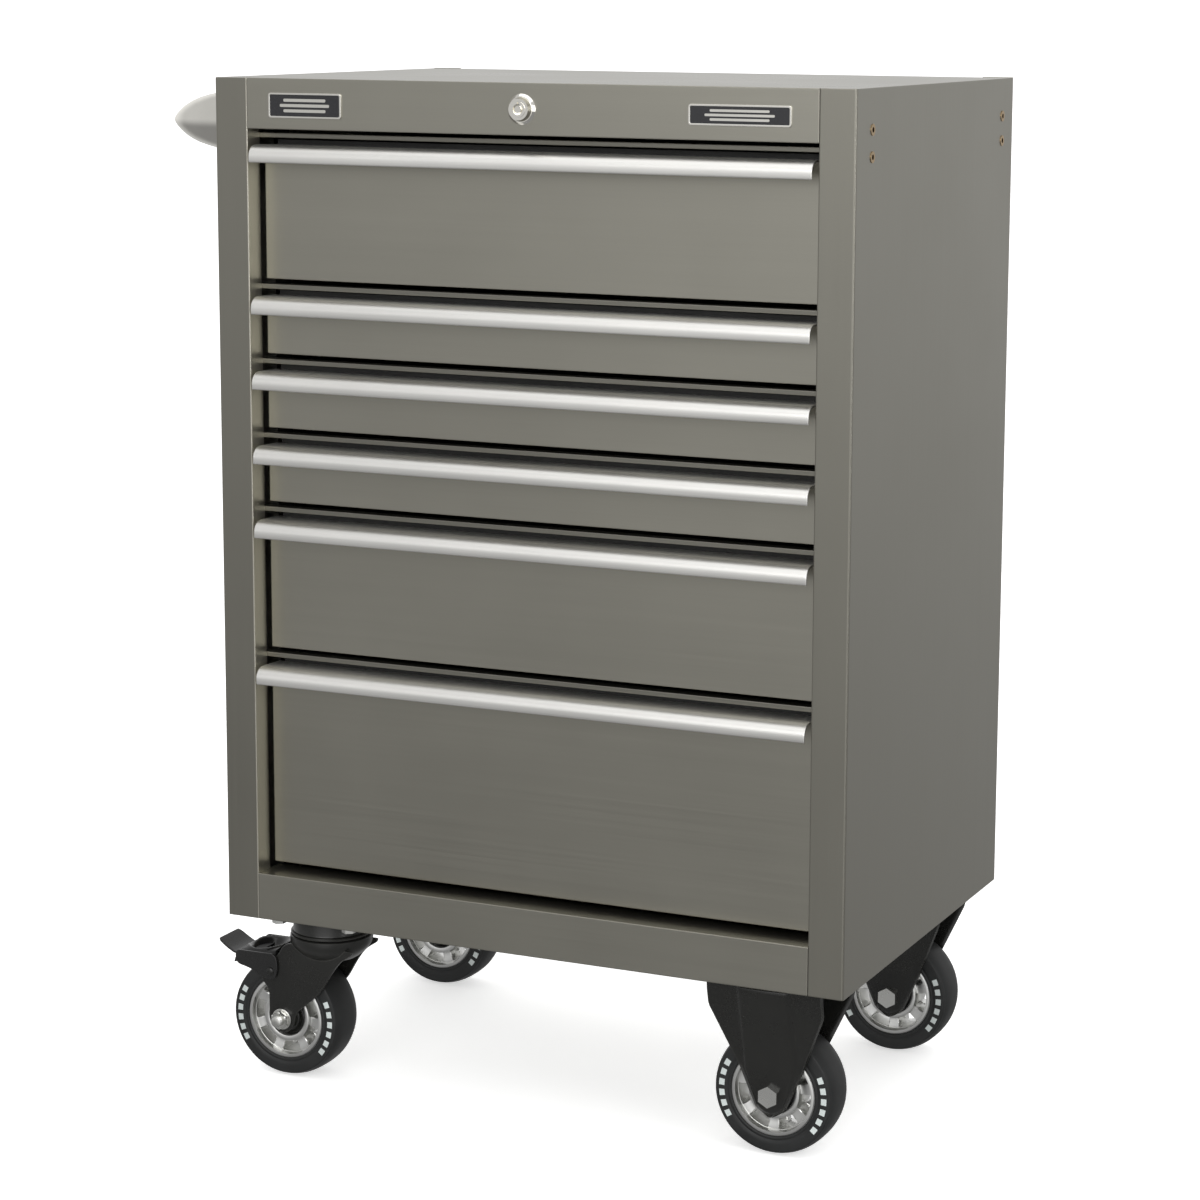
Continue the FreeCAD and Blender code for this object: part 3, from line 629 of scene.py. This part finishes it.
def rounded_slab(x, y, half_x, half_y, low, high, radius):
    """A flat plate with rounded corners, as (points, faces); x, y in metres, the rest in mm."""
    outline = filleted(rectangle(-half_x, -half_y, half_x, half_y), radius)
    points = [Vector((x + u * MM, y + v * MM, h * MM)) for h in (low, high) for u, v in outline]
    return points, prism_faces(len(outline))


def fixed_casters():
    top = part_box("fixed_caster_forks")[1].z / MM
    legs, plates = [], []
    for place in ("front", "rear"):
        centre = middle(place + "_right_tyre")
        plates.append(rounded_slab(centre.x, centre.y, 59, 47, top - 4, top, 6))
        for side in (-1, 1):
            legs.append(fixed_leg(centre, side, top))
    pressed = piece("fixed_fork_legs", *joined(*legs), caster_black, "cabinet", ("fixed_caster_forks",),
                    "caster_black", 50)
    thickened(pressed, 3.4, -1.0)
    rounded(pressed, 0.0006, 2, 60)
    rounded(piece("fixed_fork_plates", *joined(*plates), caster_black, "cabinet", (), "caster_black"), 0.0006)


def swivel_caster(place):
    """Bowl-shaped crown and two legs with rounded outlines, and the axle's nut in front."""
    fork_node, bolt_node = place + "_left_fork", place + "_left_axle_bolt"
    body = place + "_left_caster"
    low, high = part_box(fork_node)
    centre = middle(place + "_left_tyre")
    top = high.z / MM + CAD_CROWN_DROP
    axis_x, axis_y = high.x / MM - CAD_CROWN_RADIUS, centre.y / MM
    wheel_x, axle = centre.x / MM, centre.z / MM
    crown_profile = [(6.2, -24.4), (41.8, -24.4), (42.8, -25.3), (43.0, -29.0), (42.6, -32.5), (41.0, -36.0),
                     (38.2, -39.5), (34.6, -43.0), (30.5, -46.5), (26.5, -49.0), (22.0, -50.2), (6.2, -50.4)]
    crown_profile = [(r, top + z) for r, z in crown_profile]
    crown = turned(crown_profile, Vector((axis_x, axis_y, 0)) * MM, 96, closed=True, axis="Z")
    x = axis_x
    corners = [
        (x + 40, top - 34), (x + 39, top - 38), (x + 25, top - 47), (x + 15, top - 61), (x + 3, top - 82),
        (wheel_x + 16.5, axle + 8), (wheel_x + 13, axle - 8), (wheel_x + 5, axle - 14.5),
        (wheel_x - 5, axle - 14.5), (wheel_x - 13, axle - 8), (wheel_x - 15, axle + 4),
        (wheel_x - 15.5, top - 86), (x - 68, top - 77),
        (x - 68, top - 56), (x - 50, top - 51), (x - 40, top - 34),
    ]
    outline = [(u * MM, v * MM) for u, v in filleted(corners, 9.0, 6)]
    legs = [plate(outline, (axis_y + inner) * MM, (axis_y + inner + 3.5) * MM) for inner in (25.0, -28.5)]
    fork = piece(fork_node + "_pressed", *joined(crown, *legs), caster_black, body, (fork_node,),
                 "caster_black", 40)
    rounded(fork, 0.0009, 3, 50)

    ring = [(6, -28.6), (10.6, -28.6), (11.0, -29.0), (11.0, -29.8), (10.6, -30.1), (6, -30.1)]
    washer = turned(ring, centre, 48, True)
    thread = [(0.0, -42.0), (4.2, -42.0)]
    for k in range(6):
        thread += [(5.5, -41.5 + 0.9 * k), (4.9, -41.05 + 0.9 * k)]
    thread += [(5.3, -36.0), (5.3, -30)]
    end = turned(thread, centre, 40)
    nut = hex_nut(centre, 8.5, -36.6, -30.1)
    tail = hex_nut(centre, 9.5, 28.6, 36.0)
    shank = turned([(5.9, -30), (5.9, 40.2), (5.0, 41.0), (0.0, 41.0)], centre, 40)
    piece(bolt_node + "_hardware", *joined(washer, end, nut, tail, shank), bolt_zinc, body,
          (bolt_node,), "zinc_steel", 30)
    brake(place, axis_x, axis_y, wheel_x, axle, top)


def hex_nut(centre, half_flat, low, high):
    """A hexagon along Y with both ends chamfered to a circle."""
    corner = half_flat / math.cos(math.pi / 6)
    steps = 48
    rows = []
    chamfer = 0.9
    for along, cut in ((low, 0.0), (low + chamfer, 1.0), (high - chamfer, 1.0), (high, 0.0)):
        ring = []
        for i in range(steps):
            angle = 2 * math.pi * i / steps
            flat = half_flat / math.cos((angle + math.pi / 6) % (math.pi / 3) - math.pi / 6)
            radius = min(flat, half_flat * 0.97 + cut * (corner - half_flat * 0.97))
            ring.append((radius * math.cos(angle), along, radius * math.sin(angle)))
        rows.append(ring)
    points = [centre + Vector(p) * MM for ring in rows for p in ring]
    faces = grid_faces(len(rows), steps, wrap_columns=True)
    faces += [tuple(range(steps))[::-1], tuple(range(3 * steps, 4 * steps))]
    return points, faces


def brake(place, axis_x, axis_y, wheel_x, axle, top):
    """Brake lever astride the fork: crowned cover with a thumb hollow, cheeks, tab and shoe."""
    node, body = place + "_left_brake_pedal", place + "_left_brake"
    pivot_x, pivot_z = -56, -66
    rows, columns = 29, 33
    cover = []
    for i in range(rows):
        x = -51.0 - 48.0 * i / (rows - 1)
        for k in range(columns):
            y = 31.3 * (2 * k / (columns - 1) - 1)
            z = -43.6 + (x + 51) * 0.08
            z -= 9.0 * (abs(y) / 31.3) ** 7
            z -= 4.0 * smooth(-x, 92, 99)
            away = math.hypot((x + 74) / 21.0, y / 23.0)
            z -= 8.0 * (1 - smooth(away, 0.55, 0.98))
            z += 1.6 * (1 - smooth(abs(away - 1.06), 0.0, 0.14))
            cover.append(Vector((axis_x + x, axis_y + y, top + z)) * MM)
    shell = piece(node + "_cover", cover, grid_faces(rows, columns), brake_black, body, (node,),
                  "caster_black", 60)
    thickened(shell, 2.2, 1.0 if shell.data.polygons[0].normal.z < 0 else -1.0)

    cheek_corners = [(-98, -47.5), (-50, -47), (-47, -60), (-50, -74), (-62, -75), (-79, -66), (-97, -62)]
    outline = [((axis_x + u) * MM, (top + v) * MM) for u, v in filleted(cheek_corners, 6.0, 5)]
    cheeks = [plate(outline, (axis_y + y) * MM, (axis_y + y + 2.5) * MM) for y in (29.0, -31.5)]
    rounded(piece(node + "_cheeks", *joined(*cheeks), brake_black, body, (), "caster_black"), 0.0007, 3)
    pivot = Vector((axis_x + pivot_x, axis_y, top + pivot_z)) * MM
    rivet = [(0.0, 33.4), (2.6, 33.2), (4.0, 32.6), (4.6, 31.6), (4.6, 31.0)]
    rivets = [turned([(r, side * y) for r, y in rivet], pivot, 32) for side in (-1, 1)]
    piece(node + "_rivets", *joined(*rivets), caster_black, body, (), "caster_black", 50)

    path = [(-94, -50.0, 21.5), (-98, -53.2, 21.3), (-102, -54.8, 21.0), (-106, -54.2, 20.9),
            (-112, -51.0, 20.8), (-118, -47.2, 20.6), (-122, -44.6, 20.0), (-124.2, -43.2, 18.8),
            (-125.0, -42.7, 17.2)]
    ribs = 21
    tab = []
    for x, z, half in path:
        for k in range(ribs):
            y = half * (2 * k / (ribs - 1) - 1)
            tab.append(Vector((axis_x + x, axis_y + y, top + z)) * MM)
    tread = piece(node + "_tab", tab, grid_faces(len(path), ribs), brake_black, body, (), "caster_black", 60)
    thickened(tread, 2.4, 0.0)
    rounded(tread, 0.0007, 3, 50)

    shoe = [(-92, -52), (-78, -51)]
    # The shoe follows the tyre, a gap away, as it lies with the pedal fully pressed.
    press, gap = math.radians(10), 0.7
    clear = wheel_radius / MM + gap
    for k in range(9):
        x = -80 - 14 * k / 8
        z = axle - top + math.sqrt(clear ** 2 - (wheel_x - axis_x - x) ** 2)
        across, up = x - pivot_x, z - pivot_z
        shoe.append((pivot_x + across * math.cos(press) + up * math.sin(press),
                     pivot_z - across * math.sin(press) + up * math.cos(press)))
    outline = [((axis_x + u) * MM, (top + v) * MM) for u, v in shoe]
    piece(node + "_shoe", *plate(outline, (axis_y - 16) * MM, (axis_y + 16) * MM), tyre_rubber, body,
          (), "tyre_rubber")


def swivel_races():
    """Top plates with a drawn race housing: a straight wall, a rolled bead and a dust skirt."""
    parts = []
    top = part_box("swivel_caster_plates")[1].z / MM
    for place in ("front", "rear"):
        low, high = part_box(place + "_left_fork")
        x, y = high.x / MM - CAD_CROWN_RADIUS, (low.y + high.y) / 2 / MM
        parts.append(rounded_slab(x * MM, y * MM, 59, 50, top - 4, top, 6))
        profile = [(0.0, -4.0), (38.0, -4.0), (39.2, -5.0), (39.5, -7.0), (39.5, -18.4), (40.0, -19.6),
                   (41.6, -20.4), (42.2, -21.4), (42.2, -22.6), (41.4, -23.6), (39.5, -24.0), (0.0, -24.0)]
        profile = [(r, top + z) for r, z in profile]
        parts.append(turned(profile, Vector((x, y, 0)) * MM, 96, axis="Z"))
        king_pin = [(6.0, -24), (6.0, -39), (10.6, -39), (11, -39.6), (11, -41), (0, -41)]
        king_pin = [(r, top + z) for r, z in king_pin]
        parts.append(turned(king_pin, Vector((x, y, 0)) * MM, 32, axis="Z"))
    made = piece("swivel_races", *joined(*parts), caster_black, "cabinet", ("swivel_caster_plates",),
                 "caster_black", 30)
    rounded(made, 0.0005, 2, 50)


# ---- camera ------------------------------------------------------------------
def look_along(position, azimuth, elevation, roll):
    """A camera matrix at position that looks down the given angles, in degrees."""
    a, e, r = (math.radians(v) for v in (azimuth, elevation, roll))
    back = Vector((math.sin(a) * math.cos(e), -math.cos(a) * math.cos(e), math.sin(e)))
    level = Vector((math.cos(a), math.sin(a), 0.0))
    upright = back.cross(level)
    right = level * math.cos(r) + upright * math.sin(r)
    up = back.cross(right)
    rotation = Matrix((right, up, back)).transposed().to_4x4()
    return Matrix.Translation(position) @ rotation


camera_data = bpy.data.cameras.new("camera")
camera_data.sensor_width = 36.0
camera_data.lens = 94.68
camera_data.shift_x = -0.0491
camera_data.shift_y = -0.0755
camera_data.clip_end = 200.0
camera = bpy.data.objects.new("camera", camera_data)
camera.matrix_world = look_along((1.3758, -2.9169, 1.1180), 23.944, 9.287, 0.334)
scene.collection.objects.link(camera)
scene.camera = camera
scene.view_settings.view_transform = "Standard"


# ---- floor and light ---------------------------------------------------------
def floor():
    size, start, bend = 30.0, 6.0, 5.0
    line = [(-size, 0.0)]
    for k in range(17):
        angle = math.pi / 2 * k / 16
        line.append((start + bend * math.sin(angle), bend * (1 - math.cos(angle))))
    line.append((start + bend, size))
    mesh = bpy.data.meshes.new("floor")
    points = [(x, y, z) for y, z in line for x in (-size, size)]
    mesh.from_pydata(points, [], grid_faces(len(line), 2))
    mesh.polygons.foreach_set("use_smooth", [True] * len(mesh.polygons))
    plane = bpy.data.objects.new("floor", mesh)
    scene.collection.objects.link(plane)
    s = Shader("pale_floor", (0.9, 0.9, 0.9), 0.0, 0.8)
    speckle = s.noise((30.0, 30.0, 30.0), 4.0)
    s.set_colour(s.mixed(s.spread(speckle, 0, 1), (0.93, 0.93, 0.92), (0.96, 0.96, 0.955)))
    s.set_roughness(s.spread(speckle, 0.75, 0.85))
    s.bsdf.inputs["Specular IOR Level"].default_value = 0.2
    s.bsdf.inputs["Emission Color"].default_value = (1.0, 1.0, 1.0, 1.0)
    s.bsdf.inputs["Emission Strength"].default_value = 0.55
    mesh.materials.append(s.material)
    plane.visible_glossy = False


def area_light(name, position, target, width, height, power):
    data = bpy.data.lights.new(name, "AREA")
    data.shape = "RECTANGLE"
    data.size = width
    data.size_y = height
    data.energy = power
    lamp = bpy.data.objects.new(name, data)
    aim = Vector(target) - Vector(position)
    lamp.matrix_world = Matrix.Translation(position) @ aim.to_track_quat("-Z", "Y").to_matrix().to_4x4()
    scene.collection.objects.link(lamp)


def sky():
    """Studio surroundings: darker below the horizon, a bright wall in front, a dimmer one behind."""
    world = bpy.data.worlds.new("studio")
    world.use_nodes = True
    scene.world = world
    tree = world.node_tree
    direction = tree.nodes.new("ShaderNodeTexCoord").outputs["Generated"]

    def along(axis, low, high, start, end):
        """Eases from low to high while a direction's share along the axis goes from start to end."""
        dot = tree.nodes.new("ShaderNodeVectorMath")
        dot.operation = "DOT_PRODUCT"
        dot.inputs[1].default_value = Vector(axis).normalized()
        tree.links.new(direction, dot.inputs[0])
        ramp = tree.nodes.new("ShaderNodeMapRange")
        ramp.interpolation_type = "SMOOTHSTEP"
        for socket, value in zip(ramp.inputs[1:5], (start, end, low, high)):
            socket.default_value = value
        tree.links.new(dot.outputs["Value"], ramp.inputs["Value"])
        return ramp.outputs["Result"]

    def combined(operation, a, b):
        node = tree.nodes.new("ShaderNodeMath")
        node.operation = operation
        tree.links.new(a, node.inputs[0])
        if isinstance(b, float):
            node.inputs[1].default_value = b
        else:
            tree.links.new(b, node.inputs[1])
        return node.outputs[0]

    strength = 0.57
    level = along((0, 0, 1), 0.42, 0.95, -0.34, 0.05)
    wall = along((0.14, -1.0, 0.10), 0.0, 1.20, 0.80, 1.0)
    behind = along((-0.75, 1.0, 0.0), 0.0, 0.50, 0.35, 0.85)
    light = combined("ADD", combined("ADD", level, wall), behind)
    background = tree.nodes["Background"]
    background.inputs["Color"].default_value = (1.0, 1.0, 1.0, 1.0)
    tree.links.new(combined("MULTIPLY", light, strength), background.inputs["Strength"])


floor()
sky()
area_light("overhead", (0.2, -1.2, 3.4), (0, -0.4, 0), 3.5, 3.0, 26.0)
area_light("front_wall", (0.6, -5.0, 2.6), (0, -0.6, 0), 4.0, 2.5, 66.0)
area_light("right_side", (3.2, -1.6, 1.3), (0, 0, 0.6), 1.0, 2.0, 17.0)


# ---- build -------------------------------------------------------------------
window_turn = 180.0 / PADS
wheel_turns = {"front_right": 11.5, "front_left": 45.0, "rear_right": 16.0, "rear_left": 30.0}
for place, pad_turn in wheel_turns.items():
    wheel(place, math.radians(pad_turn + window_turn))
fixed_casters()
swivel_races()
for place in ("front", "rear"):
    swivel_caster(place)
push_handle()
for number in range(1, 7):
    drawer_handle(number)
badge_low, badge_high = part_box("badge_plates")
left_width, right_width = 0.0812, 0.1024
right_low_margin, right_high_margin = 0.0026, 0.0023
badge(1, badge_low.x, badge_low.x + left_width, badge_low.z, badge_high.z, badge_high.y)
badge(2, badge_high.x - right_width, badge_high.x, badge_low.z + right_low_margin,
      badge_high.z - right_high_margin, badge_high.y)
